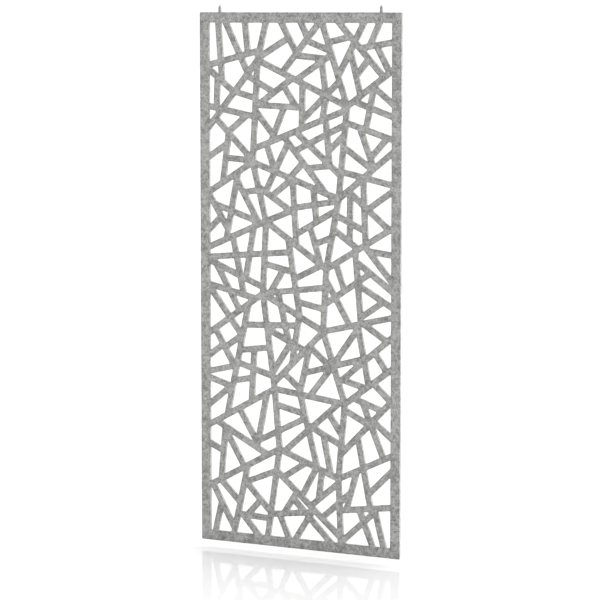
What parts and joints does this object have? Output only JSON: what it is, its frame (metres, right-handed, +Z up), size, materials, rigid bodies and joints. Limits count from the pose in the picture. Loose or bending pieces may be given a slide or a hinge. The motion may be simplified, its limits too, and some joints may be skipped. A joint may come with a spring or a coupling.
{
  "type": "hanging room divider panel",
  "caption": "Tall flat lattice panel, felt on both faces of a stiff core, hung by two push-to-release cable grippers on its top edge.",
  "frame": {"origin": "midway between the two cable entries, in the plane of the release nipples' top faces", "axes": "+Z up along the cables, X across the panel from left to right as seen from the front, the front faces -Y"},
  "size_m": [1, 0.016, 2.43],
  "materials": {
    "felt": "heathered grey pressed felt",
    "core": "matt, cut edge",
    "anchor_metal": "sawn and drilled",
    "steel": "satin",
    "plated_metal": "satin nickel",
    "ball_steel": "polished",
    "spring_steel": "bright wire"
  },
  "bodies": {
    "panel": {"front_felt": "felt", "core_board": "core", "back_felt": "felt", "left_anchor": "anchor_metal", "right_anchor": "anchor_metal", "left_washer": "steel", "right_washer": "steel", "left_base_stud": "steel", "right_base_stud": "steel", "left_barrel": "plated_metal", "right_barrel": "plated_metal", "left_spring": "spring_steel", "right_spring": "spring_steel"},
    "left_release": {"left_nipple": "plated_metal", "left_balls": "ball_steel"},
    "right_release": {"right_nipple": "plated_metal", "right_balls": "ball_steel"}
  },
  "joints": [
    {"name": "left_release_push", "type": "slide", "parent": "panel", "child": "left_release", "axis": [0, 0, -1], "range_m": [0, 0.0025], "stiffness_N_per_m": 600, "springref_m": -0.004, "deforming": ["left_spring"]},
    {"name": "right_release_push", "type": "slide", "parent": "panel", "child": "right_release", "axis": [0, 0, -1], "range_m": [0, 0.0025], "stiffness_N_per_m": 600, "springref_m": -0.004, "deforming": ["right_spring"]}
  ]
}
